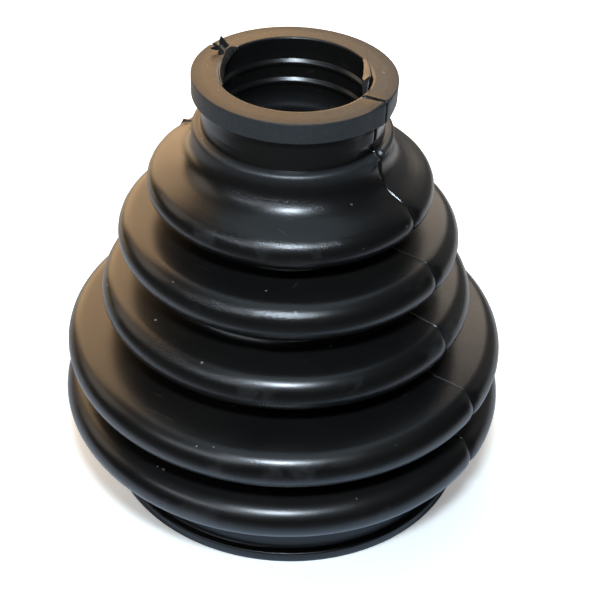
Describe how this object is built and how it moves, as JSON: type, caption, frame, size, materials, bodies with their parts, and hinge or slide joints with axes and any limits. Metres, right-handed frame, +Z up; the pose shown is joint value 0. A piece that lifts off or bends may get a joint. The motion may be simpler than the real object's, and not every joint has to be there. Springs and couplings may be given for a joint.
{
  "type": "rubber bellows boot",
  "caption": "Tapered rubber bellows boot with round-crested folds, a clamp seat with a sealing lip at the wide end and a flanged, ribbed clamp seat at the narrow end",
  "frame": {"origin": "centre of the big end's mouth, on the plane that the boot stands on", "axes": "+Z runs up the boot's axis from the big end to the small end; the mould's parting line lies on the +X and -X sides"},
  "size_m": [0.104, 0.104, 0.1021],
  "materials": {
    "rubber": "satin moulded rubber"
  },
  "bodies": {
    "root": {"bellows_boot": "rubber"}
  },
  "joints": []
}
